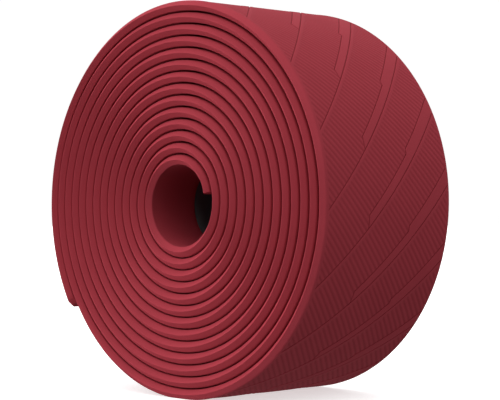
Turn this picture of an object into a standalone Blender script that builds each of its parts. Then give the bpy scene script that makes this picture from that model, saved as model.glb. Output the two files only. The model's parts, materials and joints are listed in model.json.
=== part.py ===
"""A roll of handlebar tape that stands on its rim.

One long foam strip with pointed edges is wound on itself in a spiral. On its back run an adhesive strip and
the release liner that covers it. The last third of the outer turn is cut into links with hinges between them,
so that the free end can unwind. The roll's axis is Y, the side that faces -Y is its front, Z is up, and the
origin is on the floor under the axis, in the middle of the tape's width. Units are metres and degrees.

A place along the tape is its sweep: the angle wound since the free end. The strip winds inwards clockwise, as
seen from the front. A cross-section is drawn as (depth below the outer face, position across the width).
"""

import math

import bmesh
import bpy
from mathutils import Vector

# The winding
OUTER_RADIUS = 0.03274  # of the outer face at the free end
PITCH = 0.001877  # from one turn to the next
FREE_END = 212.0  # direction of the free end, counted from +X towards +Z
TURNS = 13.55

# The foam tape
TAPE_WIDTH = 0.030
TAPE_THICKNESS = 0.00162
EDGE_HEIGHT = 0.00083  # how far the pointed edge stands out from both faces
CREST_DEPTH = 0.52 * TAPE_THICKNESS  # of the edge's point, below the outer face
CORNER_WIDTH = 0.0006  # of the clipped corners at the free end
CORNER_LENGTH = 0.0012

# The strips on its back
LAYER_GAP = 0.00002
ADHESIVE_WIDTH = 0.009
ADHESIVE_THICKNESS = 0.00009
LINER_WIDTH = 0.010
LINER_THICKNESS = 0.00007

# Flat facets stand for the curve: fine ones on the outer turns, coarse ones on the small inner turns
FACET = 12.0
COARSE_FACET = 2 * FACET
COARSE_BELOW = 0.0225  # radius

# The free end's links
LINKS = 5
LINK_FACETS = 2  # per link; the last link also has the short facet at the free end
LINK_GAP = 0.0003


def radius(sweep):
    """Radius of the tape's outer face."""
    return OUTER_RADIUS - PITCH * sweep / 360


def level_shift(sweep):
    """How far the facets turn so that the one from sweep on lies level, although the radius shrinks along it."""
    shrink = radius(sweep) - radius(sweep + FACET)
    total = radius(sweep) + radius(sweep + FACET)
    return math.degrees(math.atan(shrink / (total * math.tan(math.radians(FACET / 2)))))


# The level facet at the bottom, which the roll rests on, and the facet edges in step with it on every turn
REST_SWEEP = (FREE_END - 270 - FACET / 2) % 360
REST_SWEEP -= level_shift(REST_SWEEP)
FIRST_SWEEP = REST_SWEEP % FACET
FACETS = 2 * round((360 * TURNS - FIRST_SWEEP) / COARSE_FACET)
AXIS_HEIGHT = radius(REST_SWEEP) * math.cos(math.radians(FREE_END - REST_SWEEP + 90))

# The hinges' sweeps, in order from the wound part out to the free end
HINGES = [FIRST_SWEEP + FACET * (1 + LINK_FACETS * step) for step in reversed(range(LINKS))]


def place(sweep, depth, across):
    """The point at a sweep along the tape, at a depth below its outer face and a place across it."""
    angle = math.radians(FREE_END - sweep)
    reach = radius(sweep) - depth
    return Vector((reach * math.cos(angle), across, AXIS_HEIGHT + reach * math.sin(angle)))


def half_gap(sweep):
    """The sweep of half the gap between two links."""
    return math.degrees(LINK_GAP / 2 / radius(sweep))


def stations(start, end):
    """The sweeps of a piece's facet edges, with its own two ends."""
    inner = []
    for facet in range(FACETS + 1):
        sweep = FIRST_SWEEP + facet * FACET
        left_out = facet % 2 == 1 and radius(sweep) < COARSE_BELOW
        if start < sweep < end and not left_out:
            inner.append(sweep)
    return [start, *inner, end]


def tape_section(sweep):
    """The tape's outline across: two flat faces between pointed edges, narrower at the clipped corners."""
    length_to_corner = math.radians(sweep) * OUTER_RADIUS
    clipped = CORNER_WIDTH * max(0.0, 1 - length_to_corner / CORNER_LENGTH)
    crest = TAPE_WIDTH / 2 - clipped
    face = crest - EDGE_HEIGHT
    return [
        (0.0, -face),
        (0.0, face),
        (CREST_DEPTH, crest),
        (TAPE_THICKNESS, face),
        (TAPE_THICKNESS, -face),
        (CREST_DEPTH, -crest),
    ]


def strip_section(depth, thickness, width):
    """A plain strip's outline across."""
    return [
        (depth, -width / 2),
        (depth, width / 2),
        (depth + thickness, width / 2),
        (depth + thickness, -width / 2),
    ]


def adhesive_section(_sweep):
    return strip_section(TAPE_THICKNESS + LAYER_GAP, ADHESIVE_THICKNESS, ADHESIVE_WIDTH)


def liner_section(_sweep):
    depth = TAPE_THICKNESS + ADHESIVE_THICKNESS + 2 * LAYER_GAP
    return strip_section(depth, LINER_THICKNESS, LINER_WIDTH)


def wind(name, section, sweeps, material, parent):
    """A closed solid: the cross-section extruded from sweep to sweep, with its origin on its parent."""
    bm = bmesh.new()
    corners = [bm.verts.new(place(sweeps[0], *point)) for point in section(sweeps[0])]
    bm.faces.new(corners)
    outline = list(bm.edges)
    for sweep in sweeps[1:]:
        extruded = bmesh.ops.extrude_edge_only(bm, edges=outline)["geom"]
        outline = [item for item in extruded if isinstance(item, bmesh.types.BMEdge)]
        new_corners = [item for item in extruded if isinstance(item, bmesh.types.BMVert)]
        corners = [next(new for new in new_corners if new.co == old.co) for old in corners]
        for corner, point in zip(corners, section(sweep)):
            corner.co = place(sweep, *point)
    bm.faces.new(corners)
    bmesh.ops.recalc_face_normals(bm, faces=bm.faces)
    origin = parent.matrix_world.translation
    bmesh.ops.translate(bm, verts=bm.verts, vec=-origin)
    mesh = bpy.data.meshes.new(name)
    bm.to_mesh(mesh)
    bm.free()
    mesh.materials.append(material)
    mesh.shade_smooth()
    mesh.set_sharp_from_angle(angle=math.radians(35))
    piece = bpy.data.objects.new(name, mesh)
    piece.parent = parent
    roll.objects.link(piece)
    return piece


def make_empty(name, position, parent):
    """An empty at a world position, as the origin of the pieces that it carries."""
    empty = bpy.data.objects.new(name, None)
    empty.empty_display_size = 0.004
    empty.parent = parent
    empty.location = position - parent.matrix_world.translation if parent else position
    roll.objects.link(empty)
    bpy.context.view_layer.update()
    return empty


def make_material(name, color, roughness):
    material = bpy.data.materials.new(name)
    material.use_nodes = True
    shader = material.node_tree.nodes["Principled BSDF"]
    shader.inputs["Base Color"].default_value = (*color, 1.0)
    shader.inputs["Roughness"].default_value = roughness
    shader.inputs["Metallic"].default_value = 0.0
    return material


def make_layer(name, section, material, carriers):
    """One layer of the tape: its wound stretch, then its link at each hinge."""
    cuts = [*HINGES, None]
    inner_end = FIRST_SWEEP + FACETS * FACET
    for number, carrier in enumerate(carriers):
        start = cuts[number] + half_gap(cuts[number]) if cuts[number] is not None else 0.0
        end = cuts[number - 1] - half_gap(cuts[number - 1]) if number else inner_end
        sweeps = stations(start, end)
        if cuts[number] is None and section is tape_section:
            sweeps.insert(1, math.degrees(CORNER_LENGTH / OUTER_RADIUS))
        piece_name = f"{name}_tail_{number}" if number else f"{name}_wound"
        wind(piece_name, section, sweeps, material, carrier)


for old_object in list(bpy.data.objects):
    bpy.data.objects.remove(old_object)

roll = bpy.data.collections.new("handlebar_tape_roll")
bpy.context.scene.collection.children.link(roll)

core = make_empty("core", Vector((0.0, 0.0, AXIS_HEIGHT)), None)
carriers = [core]
for hinge_number, hinge_sweep in enumerate(HINGES, start=1):
    pivot = place(hinge_sweep, 0.0, 0.0)
    carriers.append(make_empty(f"hinge_{hinge_number}", pivot, carriers[-1]))

make_layer("tape", tape_section, make_material("foam_red", (0.33, 0.045, 0.062), 0.62), carriers)
make_layer("adhesive", adhesive_section, make_material("adhesive_clear", (0.62, 0.58, 0.50), 0.3), carriers)
make_layer("liner", liner_section, make_material("liner_black", (0.012, 0.012, 0.014), 0.5), carriers)
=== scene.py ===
"""The look of a roll of handlebar tape, standing on its rim.

The foam strip is one spiral with pointed edges. Its outer face is embossed: smooth bands run across it at 45
degrees, bounded by fine grooves, with ribs between them that run the other way. On its back are an adhesive
strip and a black release liner. Lengths are in metres and angles in degrees.

A place on the tape is (sweep, depth, across): the angle wound since the free end, the depth below the outer
face and the place across the width. On the flat, unwound tape it is (along, across) from the free end.
"""

import json
import math

import bmesh
import bpy
import numpy as np
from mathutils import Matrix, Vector


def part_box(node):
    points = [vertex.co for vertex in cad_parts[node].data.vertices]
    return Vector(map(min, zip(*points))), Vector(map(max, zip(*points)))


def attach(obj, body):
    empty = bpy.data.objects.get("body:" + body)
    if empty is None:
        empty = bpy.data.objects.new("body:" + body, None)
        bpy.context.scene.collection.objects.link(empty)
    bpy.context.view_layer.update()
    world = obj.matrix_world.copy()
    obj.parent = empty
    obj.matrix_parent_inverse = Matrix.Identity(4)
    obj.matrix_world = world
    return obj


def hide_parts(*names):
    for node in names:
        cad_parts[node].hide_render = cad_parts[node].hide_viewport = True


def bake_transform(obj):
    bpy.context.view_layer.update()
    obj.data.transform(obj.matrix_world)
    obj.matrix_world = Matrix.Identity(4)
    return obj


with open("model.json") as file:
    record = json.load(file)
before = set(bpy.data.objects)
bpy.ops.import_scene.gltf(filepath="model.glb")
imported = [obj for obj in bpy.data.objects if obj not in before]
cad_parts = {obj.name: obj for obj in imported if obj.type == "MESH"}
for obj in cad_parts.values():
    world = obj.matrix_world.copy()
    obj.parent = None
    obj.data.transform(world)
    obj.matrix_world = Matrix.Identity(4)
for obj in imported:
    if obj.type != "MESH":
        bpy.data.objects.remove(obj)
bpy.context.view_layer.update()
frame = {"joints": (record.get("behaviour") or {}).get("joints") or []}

# The winding, as in the CAD
OUTER_RADIUS = 0.03274
PITCH = 0.001877
FREE_END = 212.0  # direction of the free end, counted from +X towards +Z
TIP_SWEEP = -0.75
INNER_END_SWEEP = 4878.0

# The hinges, from the wound part out to the free end, one link apart
FIRST_HINGE_SWEEP = 115.4528
LINK_SWEEP = 24.0
HINGE_SWEEPS = [FIRST_HINGE_SWEEP - LINK_SWEEP * link for link in range(len(frame["joints"]))]

# The tape's cross-section
HALF_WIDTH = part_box("tape_wound")[1][1]
THICKNESS = 0.00162
EDGE_HEIGHT = 0.00080
CREST_DEPTH = 0.52 * THICKNESS
CORNER_WIDTH = 0.00065  # of the clipped corners at the free end
CORNER_LENGTH = 0.0009
OUTER_ROUNDING = 0.00025  # the skin of the outer face wraps softly round its edges
CREST_ROUNDING = 0.00008
INNER_ROUNDING = 0.00012
CURVE_POINTS = 5  # of each rounding
SUPPORT_REACH = 1.3  # of the points beside a rounding, from its corner, as a multiple of the rounding
FACE_REACH = 1.35  # of the embossed face's border, counted in the same way
FACE_HALF_WIDTH = HALF_WIDTH - EDGE_HEIGHT - FACE_REACH * OUTER_ROUNDING  # of the flat outer face
FACE_POINTS = 5  # across each flat face of the outline

# The gaps between the turns' edges close towards the lower left and open at the sides. The foam near its
# edges is thicker by these shares of its thickness: everywhere, towards SWELL_SIDE, and at the top and
# bottom.
SWELL = (-0.012, 0.035, 0.025)
SWELL_SIDE = 245.0
SWELL_FROM = 0.006  # across, from the middle
SWELL_WIDTH = 0.006

# The strips on its back
ADHESIVE_HALF_WIDTH = 0.0045
ADHESIVE_DEPTHS = (0.00164, 0.00173)
LINER_HALF_WIDTH = 0.0050
LINER_DEPTHS = (0.00175, 0.00187)  # it all but touches the next turn, so no light comes through

# The embossed pattern. Diagonals are counted as along + across-from-the-front-edge.
BAND_PITCH = 0.01193
BAND_START = 0.00204
WIDE_BAND = 0.00283
NARROW_BAND = 0.00206
WIDE_FROM = 0.0197  # across, from the front edge
NARROW_FROM = 0.0103
SMOOTH_STRIP = 0.0007  # beside the main groove, where the ribs stop short of it
GROOVE_HALF_WIDTH = 0.00013
GROOVE_DEPTH = 0.00013
JOG_SHARE = 0.7  # of the groove's depth, where a band's side steps to another width
RIBS_PER_BAND = 10
RIB_LEVEL = 0.00003  # depth of the ribs' tops
RIB_DEPTH = 0.00005
RIB_SHARPNESS = 1.5  # 1 is a sine wave. More makes the valleys narrower.
# The painted shade in the rib valleys, as a share of the painted shade in a groove
RIB_PAINTED_SHADE = 0.40  # against 1 in a groove
BORDER_FADE = 0.00015

# The lattice that carries the pattern
POINTS_PER_RIB = 5
GROOVE_LINES = 7
BAND_LINES = 4
GAP_LINES = 6
JOG_CUTS = 3  # of each edge near a jog
BORDER_OVERLAP = 0.00002  # of the lattice over the outline beside it
CUT_TOLERANCE = 1e-7

# How the strip is divided into pieces. The outer turn's pieces meet in the middle of each link.
FIRST_SEAM = 280.0
SEAMS = [hinge - LINK_SWEEP / 2 for hinge in HINGE_SWEEPS[:-1]]
TAIL_ENDS = [FIRST_SEAM, *SEAMS, TIP_SWEEP]
EMBOSSED_END = 480.0  # just past what shows when the tail is lifted
FINE_STEP = 1.5
COARSE_STEP = 3.0

# The tongue at a seam
TONGUE_SWEEP = 1.0
TONGUE_SIDE_SHARE = 0.004  # of its half width
TONGUE_INSET = 0.00002


# ---------------------------------------------------------------- the winding


def radius(sweep):
    """Radius of the outer face."""
    return OUTER_RADIUS - PITCH * sweep / 360


hinge_position = Vector(frame["joints"][0]["pos_m"])
hinge_angle = math.radians(FREE_END - FIRST_HINGE_SWEEP)
AXIS_HEIGHT = hinge_position.z - radius(FIRST_HINGE_SWEEP) * math.sin(hinge_angle)


def swelling(angle, across):
    """How much thicker the foam is near its edges, as a share of its thickness."""
    everywhere, towards_side, top_and_bottom = SWELL
    swell = everywhere + towards_side * np.cos(angle - math.radians(SWELL_SIDE))
    swell = swell - top_and_bottom * np.cos(2 * angle)
    return swell * np.clip((np.abs(across) - SWELL_FROM) / SWELL_WIDTH, 0, 1)


def place(sweep, depth, across):
    """World points of places on the wound tape. The lowest stretch lies flat on the floor."""
    angle = np.radians(FREE_END - sweep)
    reach = radius(sweep) - depth * (1 + swelling(angle, across))
    up = np.maximum(AXIS_HEIGHT + reach * np.sin(angle), 0.0)
    return np.stack([reach * np.cos(angle), across + 0 * reach, up], axis=-1)


def along_of(sweep):
    """Length of the outer face from the free end."""
    turned = np.radians(sweep)
    return OUTER_RADIUS * turned - PITCH * turned**2 / (4 * math.pi)


def sweep_of(along):
    """The sweep at a length along the outer face: the inverse of along_of."""
    shrink = PITCH / (2 * math.pi)
    return np.degrees((OUTER_RADIUS - np.sqrt(OUTER_RADIUS**2 - 2 * shrink * along)) / shrink)


def tip_squeeze(along):
    """The tape's width as a share of its full width, which is less at the clipped corners of its free end."""
    clipped = CORNER_WIDTH * np.clip(1 - (along - along_of(TIP_SWEEP)) / CORNER_LENGTH, 0, 1)
    return 1 - clipped / HALF_WIDTH


# ---------------------------------------------------------------- cross-sections


def rounded(corners):
    """An open outline through (depth, across, rounding) corners, each turned by a short curve.

    A point just before and after each curve keeps the flat faces beside it evenly shaded.
    """
    outline = []
    for number, (depth, across, rounding) in enumerate(corners):
        corner = np.array([depth, across])
        if rounding == 0:
            outline.append(corner)
            continue
        before = np.array(corners[number - 1][:2]) - corner
        after = np.array(corners[number + 1][:2]) - corner
        before *= rounding / np.linalg.norm(before)
        after *= rounding / np.linalg.norm(after)
        outline.append(corner + SUPPORT_REACH * before)
        for t in np.linspace(0, 1, CURVE_POINTS):
            outline.append(corner + (1 - t) ** 2 * before + t**2 * after)
        outline.append(corner + SUPPORT_REACH * after)
    return np.array(outline)


def edge_corners(side):
    """The corners of one pointed edge, from the outer face to the inner face. side is -1 at the front."""
    face = side * (HALF_WIDTH - EDGE_HEIGHT)
    return [
        (0.0, face, OUTER_ROUNDING),
        (CREST_DEPTH, side * HALF_WIDTH, CREST_ROUNDING),
        (THICKNESS, face, INNER_ROUNDING),
    ]


def foam_outline(open_face):
    """The foam's outline across, from the outer face round to it again. An open one leaves the middle out."""
    front = edge_corners(-1)
    back = list(reversed(edge_corners(1)))
    to_back = np.linspace(-FACE_HALF_WIDTH, FACE_HALF_WIDTH, FACE_POINTS)
    to_front = np.linspace(FACE_HALF_WIDTH, -FACE_HALF_WIDTH, FACE_POINTS)
    inner_face = [(THICKNESS, across, 0.0) for across in to_back]
    start = [(0.0, -FACE_HALF_WIDTH, 0.0)]
    end = [(0.0, across, 0.0) for across in (to_front[:1] if open_face else to_front)]
    return rounded([*start, *front, *inner_face, *back, *end])


def strip_outline(half_width, depths):
    """A flat strip's outline across, closed."""
    top, bottom = depths
    corners = [(top, 0.0), (top, -half_width), (bottom, -half_width), (bottom, 0.0)]
    corners += [(bottom, half_width), (top, half_width), (top, 0.0)]
    return np.array(corners)


# ---------------------------------------------------------------- plain surfaces


def swept(outline, start, end, step, cap_start=False, cap_end=False):
    """(sweep, depth, across) points, faces and painted shade, which is none, of an outline carried along the
    winding.

    An end's cap has points of its own, so that its edges stay sharp.
    """
    sweeps = np.linspace(start, end, max(2, round((end - start) / step) + 1))
    if start == TIP_SWEEP:
        corner = TIP_SWEEP + math.degrees(CORNER_LENGTH / OUTER_RADIUS)
        sweeps = np.sort(np.append(sweeps, corner))
    count = len(outline)
    places = np.empty((len(sweeps), count, 3))
    places[..., 0] = sweeps[:, None]
    places[..., 1] = outline[None, :, 0]
    places[..., 2] = outline[None, :, 1] * tip_squeeze(along_of(sweeps))[:, None]
    first = np.arange(len(sweeps) - 1)[:, None] * count + np.arange(count - 1)[None, :]
    first = first.ravel()
    quads = np.stack([first, first + 1, first + count + 1, first + count], axis=1)
    faces = [tuple(quad) for quad in quads]
    rings = [places.reshape(-1, 3)]
    total = len(sweeps) * count
    if cap_start:
        rings.append(places[0])
        faces.append(tuple(range(total + count - 1, total - 1, -1)))
        total += count
    if cap_end:
        rings.append(places[-1])
        faces.append(tuple(range(total, total + count)))
    points = np.concatenate(rings)
    return points, faces, np.zeros(len(points))


def tongue(outline, seam, top_inset):
    """A slimmer stretch inside the tape at a seam. It fills the fine wedge that opens there on the back."""
    top, bottom = outline[:, 0].min(), outline[:, 0].max()
    slimming = (top_inset + TONGUE_INSET) / (bottom - top)
    slim = outline.copy()
    slim[:, 0] = top + top_inset + (outline[:, 0] - top) * (1 - slimming)
    slim[:, 1] *= 1 - TONGUE_SIDE_SHARE
    step = TONGUE_SWEEP / 2
    return swept(slim, seam - TONGUE_SWEEP, seam + step, step, cap_start=True, cap_end=True)


# ---------------------------------------------------------------- the embossed surface


def groove(distance):
    """A fine groove's share of its full depth, at a distance from its middle."""
    return np.clip(1 - np.abs(distance) / GROOVE_HALF_WIDTH, 0, 1)


def past_groove(diagonal):
    """How far a diagonal is past the main groove that is nearest to it."""
    return (diagonal - BAND_START + BAND_PITCH / 2) % BAND_PITCH - BAND_PITCH / 2


def emboss(along, across):
    """Depth of the embossed pattern below the outer face, and the painted shade there, from 0 to 1."""
    front = across + HALF_WIDTH
    from_groove = past_groove(along + front)
    band = np.where(front > WIDE_FROM, WIDE_BAND, np.where(front > NARROW_FROM, NARROW_BAND, 0.0))
    main_groove = groove(from_groove / math.sqrt(2))
    stepped_side = groove((from_groove + band) / math.sqrt(2))
    wide_jog = (from_groove > -WIDE_BAND) & (from_groove < -NARROW_BAND)
    narrow_jog = (from_groove > -NARROW_BAND) & (from_groove < 0)
    jog = np.where(wide_jog, np.abs(front - WIDE_FROM), 1.0)
    jog = np.where(narrow_jog, np.abs(front - NARROW_FROM), jog)
    grooves = np.maximum(np.maximum(main_groove, stepped_side), JOG_SHARE * groove(jog))
    phase = (along - front) / BAND_PITCH * RIBS_PER_BAND
    valley = (0.5 + 0.5 * np.cos(2 * math.pi * phase)) ** RIB_SHARPNESS
    outside = np.maximum(from_groove - SMOOTH_STRIP, -band - from_groove)
    ribbed = np.clip(outside / (2 * GROOVE_HALF_WIDTH), 0, 1)
    fade = np.clip((FACE_HALF_WIDTH - np.abs(across)) / BORDER_FADE, 0, 1)
    depth = fade * np.maximum(GROOVE_DEPTH * grooves, ribbed * (RIB_LEVEL + RIB_DEPTH * valley))
    # Painted shade: full in the grooves and a share of it in the rib valleys, darkening the hollows
    painted_shade = fade * np.maximum(grooves, RIB_PAINTED_SHADE * ribbed * valley)
    return depth, painted_shade


def lattice_lines():
    """Places of the lattice's lines along the bands, over one band pitch: close together at each groove."""
    reach = GROOVE_HALF_WIDTH * math.sqrt(2)
    lines = []
    for middle in (-WIDE_BAND, -NARROW_BAND, 0.0):
        lines += [middle + share * reach for share in np.linspace(-1.5, 1.5, GROOVE_LINES)]
    lines += list(np.linspace(-NARROW_BAND + 2 * reach, -2 * reach, BAND_LINES))
    lines += [SMOOTH_STRIP, SMOOTH_STRIP + reach]
    gap_start, gap_end = max(lines), BAND_PITCH + min(lines)
    lines += list(np.linspace(gap_start, gap_end, GAP_LINES + 2)[1:-1])
    return np.sort(lines)


def lattice_grid(near, far, low, high):
    """A flat mesh of (along, across-from-the-front-edge) points on the pattern's diagonals.

    It reaches a little past its four borders.
    """
    repeats = np.arange(math.floor((near + low) / BAND_PITCH) - 1, math.ceil((far + high) / BAND_PITCH) + 1)
    sums = BAND_START + (repeats[:, None] * BAND_PITCH + lattice_lines()[None, :]).ravel()
    rib_step = BAND_PITCH / RIBS_PER_BAND / POINTS_PER_RIB
    steps = np.arange(math.floor((near - high) / rib_step), math.ceil((far - low) / rib_step) + 1)
    grid_sum, grid_difference = np.meshgrid(sums, steps * rib_step, indexing="ij")
    along = (grid_sum + grid_difference) / 2
    front = (grid_sum - grid_difference) / 2
    margin = BAND_PITCH / 4
    kept = (along > near - margin) & (along < far + margin) & (front > low - margin) & (front < high + margin)
    cell = kept[:-1, :-1] & kept[1:, :-1] & kept[1:, 1:] & kept[:-1, 1:]
    index = np.arange(along.size).reshape(along.shape)
    quads = np.stack([index[:-1, :-1], index[1:, :-1], index[1:, 1:], index[:-1, 1:]], axis=-1)[cell]
    used, renumbered = np.unique(quads, return_inverse=True)
    flat = np.stack([along.ravel()[used], front.ravel()[used], 0 * used], axis=1)
    mesh = bpy.data.meshes.new("flat")
    mesh.from_pydata(flat.tolist(), [], renumbered.reshape(-1, 4).tolist())
    bm = bmesh.new()
    bm.from_mesh(mesh)
    bpy.data.meshes.remove(mesh)
    return bm


def refine_jogs(bm):
    """Divides the flat lattice finely where a groove steps sideways, off the lattice's lines."""
    nearby = 2 * GROOVE_HALF_WIDTH
    near_jog = []
    for edge in bm.edges:
        middle = (edge.verts[0].co + edge.verts[1].co) / 2
        inside = -WIDE_BAND - nearby < past_groove(middle.x + middle.y) < nearby
        away = min(abs(middle.y - WIDE_FROM), abs(middle.y - NARROW_FROM))
        if inside and away < nearby:
            near_jog.append(edge)
    bmesh.ops.subdivide_edges(bm, edges=near_jog, cuts=JOG_CUTS, use_grid_fill=True)


def cut_away(bm, point, outward):
    """Removes what lies past a plane through a point."""
    everything = [*bm.verts, *bm.edges, *bm.faces]
    bmesh.ops.bisect_plane(
        bm, geom=everything, dist=CUT_TOLERANCE, plane_co=point, plane_no=outward, clear_outer=True
    )


def lattice(start, end):
    """(sweep, depth, across) points, faces and painted shade of the embossed face, on its pattern's
    diagonals.
    """
    border = FACE_HALF_WIDTH + BORDER_OVERLAP
    near, far = along_of(start), along_of(end)
    low, high = HALF_WIDTH - border, HALF_WIDTH + border
    bm = lattice_grid(near, far, low, high)
    refine_jogs(bm)
    cut_away(bm, (near, 0, 0), (-1, 0, 0))
    cut_away(bm, (far, 0, 0), (1, 0, 0))
    cut_away(bm, (0, low, 0), (0, -1, 0))
    cut_away(bm, (0, high, 0), (0, 1, 0))
    bm.verts.index_update()
    flat = np.array([vert.co[:2] for vert in bm.verts])
    faces = [tuple(vert.index for vert in face.verts) for face in bm.faces]
    bm.free()
    along = flat[:, 0]
    across = flat[:, 1] - HALF_WIDTH
    depth, painted_shade = emboss(along, across)
    return np.stack([sweep_of(along), depth, across * tip_squeeze(along)], axis=1), faces, painted_shade


# ---------------------------------------------------------------- materials


def new_material(name):
    """A new material, with its nodes, its links and its shader."""
    material = bpy.data.materials.new(name)
    material.use_nodes = True
    nodes = material.node_tree.nodes
    return material, nodes, material.node_tree.links, nodes["Principled BSDF"]


def add_noise(nodes, links, vector, scale, detail, roughness=0.5):
    noise = nodes.new("ShaderNodeTexNoise")
    noise.inputs["Scale"].default_value = scale
    noise.inputs["Detail"].default_value = detail
    noise.inputs["Roughness"].default_value = roughness
    links.new(vector, noise.inputs["Vector"])
    return noise.outputs["Fac"]


def add_range(nodes, links, value, low, high):
    """A value from 0 to 1 carried to the range from low to high."""
    scaled = nodes.new("ShaderNodeMapRange")
    scaled.inputs["To Min"].default_value = low
    scaled.inputs["To Max"].default_value = high
    links.new(value, scaled.inputs["Value"])
    return scaled.outputs["Result"]


def add_bump(nodes, links, height, distance, strength):
    bump = nodes.new("ShaderNodeBump")
    bump.inputs["Distance"].default_value = distance
    bump.inputs["Strength"].default_value = strength
    links.new(height, bump.inputs["Height"])
    return bump.outputs["Normal"]


def add_mix(nodes, links, factor, first, second):
    """A colour between two, each of which is a linked output or a plain colour."""
    mix = nodes.new("ShaderNodeMix")
    mix.data_type = "RGBA"
    links.new(factor, mix.inputs["Factor"])
    for name, color in (("A", first), ("B", second)):
        if isinstance(color, tuple):
            mix.inputs[name].default_value = (*color, 1)
        else:
            links.new(color, mix.inputs[name])
    return mix.outputs["Result"]


def add_attribute(nodes, name):
    """A node that reads what make_piece stored on the mesh."""
    attribute = nodes.new("ShaderNodeAttribute")
    attribute.attribute_name = name
    return attribute


def foam_material():
    """Closed-cell foam: deep red, matte, with a fine grain and slightly uneven colour.

    In the grooves and the rib valleys its colour is darkened towards a painted shade.
    """
    dark_red, light_red = (0.296, 0.0345, 0.0475), (0.332, 0.0395, 0.0540)
    # The painted shade for the grooves and the rib valleys
    painted_shade_red = (0.155, 0.0120, 0.0170)
    material, nodes, links, shader = new_material("foam_red")
    vector = add_attribute(nodes, "tape_place").outputs["Vector"]
    cloud = add_noise(nodes, links, vector, scale=160, detail=3)
    grain = add_noise(nodes, links, vector, scale=5200, detail=2, roughness=0.6)
    shade = add_mix(nodes, links, cloud, dark_red, light_red)
    # Painted shade: the colour darkens towards it in the embossed hollows
    painted_hollow_shade = add_attribute(nodes, "painted_hollow_shade").outputs["Fac"]
    shade = add_mix(nodes, links, painted_hollow_shade, shade, painted_shade_red)
    links.new(shade, shader.inputs["Base Color"])
    links.new(add_range(nodes, links, grain, 0.70, 0.90), shader.inputs["Roughness"])
    shader.inputs["Specular IOR Level"].default_value = 0.045
    bump = add_bump(nodes, links, grain, distance=0.00003, strength=0.5)
    links.new(bump, shader.inputs["Normal"])
    return material


def adhesive_material():
    """A thin coat of clear, slightly yellow adhesive."""
    dark_yellow, light_yellow = (0.50, 0.44, 0.33), (0.64, 0.59, 0.48)
    material, nodes, links, shader = new_material("adhesive_clear")
    vector = add_attribute(nodes, "tape_place").outputs["Vector"]
    streaks = add_noise(nodes, links, vector, scale=900, detail=3)
    links.new(add_mix(nodes, links, streaks, dark_yellow, light_yellow), shader.inputs["Base Color"])
    shader.inputs["Roughness"].default_value = 0.25
    bump = add_bump(nodes, links, streaks, distance=0.00005, strength=0.4)
    links.new(bump, shader.inputs["Normal"])
    return material


def liner_material():
    """Black coated paper with a faint fibre grain."""
    black, worn_black = (0.006, 0.006, 0.007), (0.016, 0.015, 0.017)
    material, nodes, links, shader = new_material("liner_black")
    vector = add_attribute(nodes, "tape_place").outputs["Vector"]
    fibres = add_noise(nodes, links, vector, scale=2600, detail=4, roughness=0.65)
    links.new(add_mix(nodes, links, fibres, black, worn_black), shader.inputs["Base Color"])
    links.new(add_range(nodes, links, fibres, 0.48, 0.66), shader.inputs["Roughness"])
    bump = add_bump(nodes, links, fibres, distance=0.00002, strength=0.4)
    links.new(bump, shader.inputs["Normal"])
    return material


# ---------------------------------------------------------------- the pieces


def make_piece(name, surfaces, material):
    """One mesh object of several (places, faces, painted shade) surfaces.

    Its tape_place attribute holds the unwound place, and a second attribute holds the painted shade of the
    embossed hollows, from 0 to 1.
    """
    places = np.concatenate([surface[0] for surface in surfaces])
    painted_shade = np.concatenate([surface[2] for surface in surfaces])
    faces = []
    offset = 0
    for surface_places, surface_faces, _ in surfaces:
        faces += [tuple(corner + offset for corner in face) for face in surface_faces]
        offset += len(surface_places)
    mesh = bpy.data.meshes.new(name)
    mesh.from_pydata(place(*places.T).tolist(), [], faces)
    unwound = np.stack([along_of(places[:, 0]), places[:, 2], places[:, 1]], axis=1)
    tape_place = mesh.attributes.new("tape_place", "FLOAT_VECTOR", "POINT")
    tape_place.data.foreach_set("vector", unwound.astype(np.float32).ravel())
    # The painted shade of the embossed hollows, for the foam's colour
    painted_hollow_shade = mesh.attributes.new("painted_hollow_shade", "FLOAT", "POINT")
    painted_hollow_shade.data.foreach_set("value", painted_shade.astype(np.float32))
    mesh.materials.append(material)
    mesh.shade_smooth()
    piece = bpy.data.objects.new(name, mesh)
    bpy.context.scene.collection.objects.link(piece)
    return piece


def bend(piece):
    """Bakes the piece's placement into its mesh.
    """
    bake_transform(piece)


def make_foam():
    """The foam: a piece for each bend of the tail, the embossed stretch under it, and the inner turns."""
    material = foam_material()
    open_outline = foam_outline(open_face=True)
    closed_outline = foam_outline(open_face=False)
    for number, (end, start) in enumerate(zip(TAIL_ENDS, TAIL_ENDS[1:]), start=1):
        at_tip = start == TIP_SWEEP
        surfaces = [swept(open_outline, start, end, FINE_STEP, cap_start=at_tip), lattice(start, end)]
        if not at_tip:
            surfaces.append(tongue(closed_outline, start, GROOVE_DEPTH + TONGUE_INSET))
        piece = make_piece(f"foam_tail_{number}", surfaces, material)
        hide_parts(f"tape_tail_{number}")
        bend(piece)
    surfaces = [swept(open_outline, FIRST_SEAM, EMBOSSED_END, FINE_STEP), lattice(FIRST_SEAM, EMBOSSED_END)]
    piece = make_piece("foam_under_tail", surfaces, material)
    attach(piece, "roll")
    surface = swept(closed_outline, EMBOSSED_END, INNER_END_SWEEP, COARSE_STEP, cap_end=True)
    piece = make_piece("foam_inner_turns", [surface], material)
    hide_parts("tape_wound")
    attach(piece, "roll")


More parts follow.
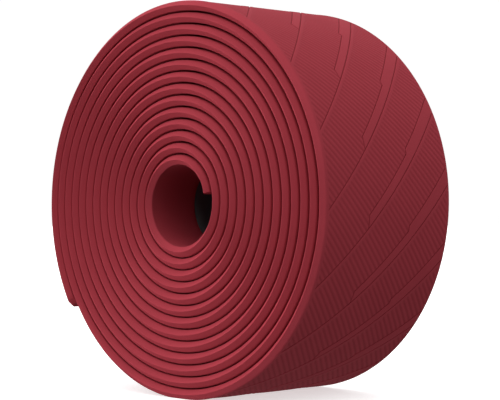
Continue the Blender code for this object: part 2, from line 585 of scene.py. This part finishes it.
def make_strip(name, half_width, depths, material):
    """A flat strip on the tape's back: a piece for each bend of the tail, and the wound part."""
    outline = strip_outline(half_width, depths)
    for number, (end, start) in enumerate(zip(TAIL_ENDS, TAIL_ENDS[1:]), start=1):
        at_tip = start == TIP_SWEEP
        surfaces = [swept(outline, start, end, FINE_STEP, cap_start=at_tip)]
        if not at_tip:
            surfaces.append(tongue(outline, start, TONGUE_INSET))
        piece = make_piece(f"{name}_strip_{number}", surfaces, material)
        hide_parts(f"{name}_tail_{number}")
        bend(piece)
    surface = swept(outline, FIRST_SEAM, INNER_END_SWEEP, COARSE_STEP, cap_end=True)
    piece = make_piece(f"{name}_strip_wound", [surface], material)
    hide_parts(f"{name}_wound")
    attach(piece, "roll")


make_foam()
make_strip("adhesive", ADHESIVE_HALF_WIDTH, ADHESIVE_DEPTHS, adhesive_material())
make_strip("liner", LINER_HALF_WIDTH, LINER_DEPTHS, liner_material())


# ---------------------------------------------------------------- camera, floor and light

CAMERA_AZIMUTH = 45.3  # to the right of the front
CAMERA_DISTANCE = 0.2709
CAMERA_LENS = 118.4  # millimetres, as is the sensor
CAMERA_SENSOR = 36
CAMERA_SHIFT = (0.0134, 0.0061)
FLOOR_SIZE = 40
FLOOR_HEIGHT = -0.00002  # just under the roll
BACKDROP_RADIUS = 2
CEILING_LIGHT = 1.89
SOFT_LIGHTS = [  # azimuth from +X, elevation, half width, strength
    (-118.0, -1.0, 40.0, 4.26),  # the key light, in front and to the left
    (55.0, -47.0, 95.0, 0.52),  # a wide fill, as from a white table
]


def make_camera():
    data = bpy.data.cameras.new("camera")
    data.lens = CAMERA_LENS
    data.sensor_width = CAMERA_SENSOR
    data.shift_x, data.shift_y = CAMERA_SHIFT
    data.clip_start = 0.01
    camera = bpy.data.objects.new("camera", data)
    bpy.context.scene.collection.objects.link(camera)
    turned = math.radians(CAMERA_AZIMUTH)
    back = Vector((math.sin(turned), -math.cos(turned), 0))
    camera.location = Vector((0, 0, AXIS_HEIGHT)) + CAMERA_DISTANCE * back
    camera.rotation_euler = (math.radians(90), 0, turned)
    bpy.context.scene.camera = camera


def make_floor():
    """A white floor that takes the roll's shadow. It lights nothing: the wide fill stands for that."""
    bpy.ops.mesh.primitive_plane_add(size=FLOOR_SIZE, location=(0, 0, FLOOR_HEIGHT))
    floor = bpy.context.object
    floor.name = "floor"
    material, _, _, shader = new_material("floor_white")
    shader.inputs["Base Color"].default_value = (0.80, 0.80, 0.80, 1)
    shader.inputs["Roughness"].default_value = 0.9
    shader.inputs["Emission Color"].default_value = (1, 1, 1, 1)
    shader.inputs["Emission Strength"].default_value = 0.6
    shader.inputs["Specular IOR Level"].default_value = 0.0
    floor.data.materials.append(material)
    floor.visible_diffuse = False
    floor.visible_glossy = False
    floor.visible_shadow = False


def make_backdrop():
    """A plain white dome behind everything. Only the camera sees it, so that it lights nothing."""
    bpy.ops.mesh.primitive_uv_sphere_add(radius=BACKDROP_RADIUS)
    dome = bpy.context.object
    dome.name = "backdrop"
    material, _, _, shader = new_material("backdrop_white")
    shader.inputs["Base Color"].default_value = (0, 0, 0, 1)
    shader.inputs["Emission Color"].default_value = (1, 1, 1, 1)
    shader.inputs["Emission Strength"].default_value = 1.0
    dome.data.materials.append(material)
    dome.visible_diffuse = False
    dome.visible_glossy = False
    dome.visible_transmission = False
    dome.visible_shadow = False


def add_math(nodes, links, operation, first, second):
    """A Math node of a linked value and a second one, linked or plain."""
    math_node = nodes.new("ShaderNodeMath")
    math_node.operation = operation
    links.new(first, math_node.inputs[0])
    if isinstance(second, float):
        math_node.inputs[1].default_value = second
    else:
        links.new(second, math_node.inputs[1])
    return math_node.outputs["Value"]


def add_soft_light(nodes, links, direction, azimuth, elevation, half_width, strength):
    """The brightness of one large soft light with a blurred edge, in a direction of the sky."""
    turned, raised = math.radians(azimuth), math.radians(elevation)
    level = math.cos(raised)
    towards = nodes.new("ShaderNodeVectorMath")
    towards.operation = "DOT_PRODUCT"
    towards.inputs[1].default_value = (level * math.cos(turned), level * math.sin(turned), math.sin(raised))
    links.new(direction, towards.inputs[0])
    light = nodes.new("ShaderNodeMapRange")
    light.interpolation_type = "SMOOTHSTEP"
    light.inputs["From Min"].default_value = math.cos(math.radians(half_width))
    light.inputs["To Max"].default_value = strength
    links.new(towards.outputs["Value"], light.inputs["Value"])
    return light.outputs["Result"]


def make_world():
    """Soft studio light: a ceiling that is brightest overhead, and the soft lights."""
    world = bpy.data.worlds.new("studio")
    bpy.context.scene.world = world
    world.use_nodes = True
    nodes = world.node_tree.nodes
    links = world.node_tree.links
    direction = nodes.new("ShaderNodeTexCoord").outputs["Generated"]
    split = nodes.new("ShaderNodeSeparateXYZ")
    links.new(direction, split.inputs["Vector"])
    upward = add_math(nodes, links, "MAXIMUM", split.outputs["Z"], 0.0)
    total = add_math(nodes, links, "MULTIPLY", upward, CEILING_LIGHT)
    for soft_light in SOFT_LIGHTS:
        total = add_math(nodes, links, "ADD", total, add_soft_light(nodes, links, direction, *soft_light))
    links.new(total, nodes["Background"].inputs["Color"])


make_camera()
make_floor()
make_backdrop()
make_world()
bpy.context.scene.view_settings.view_transform = "Standard"
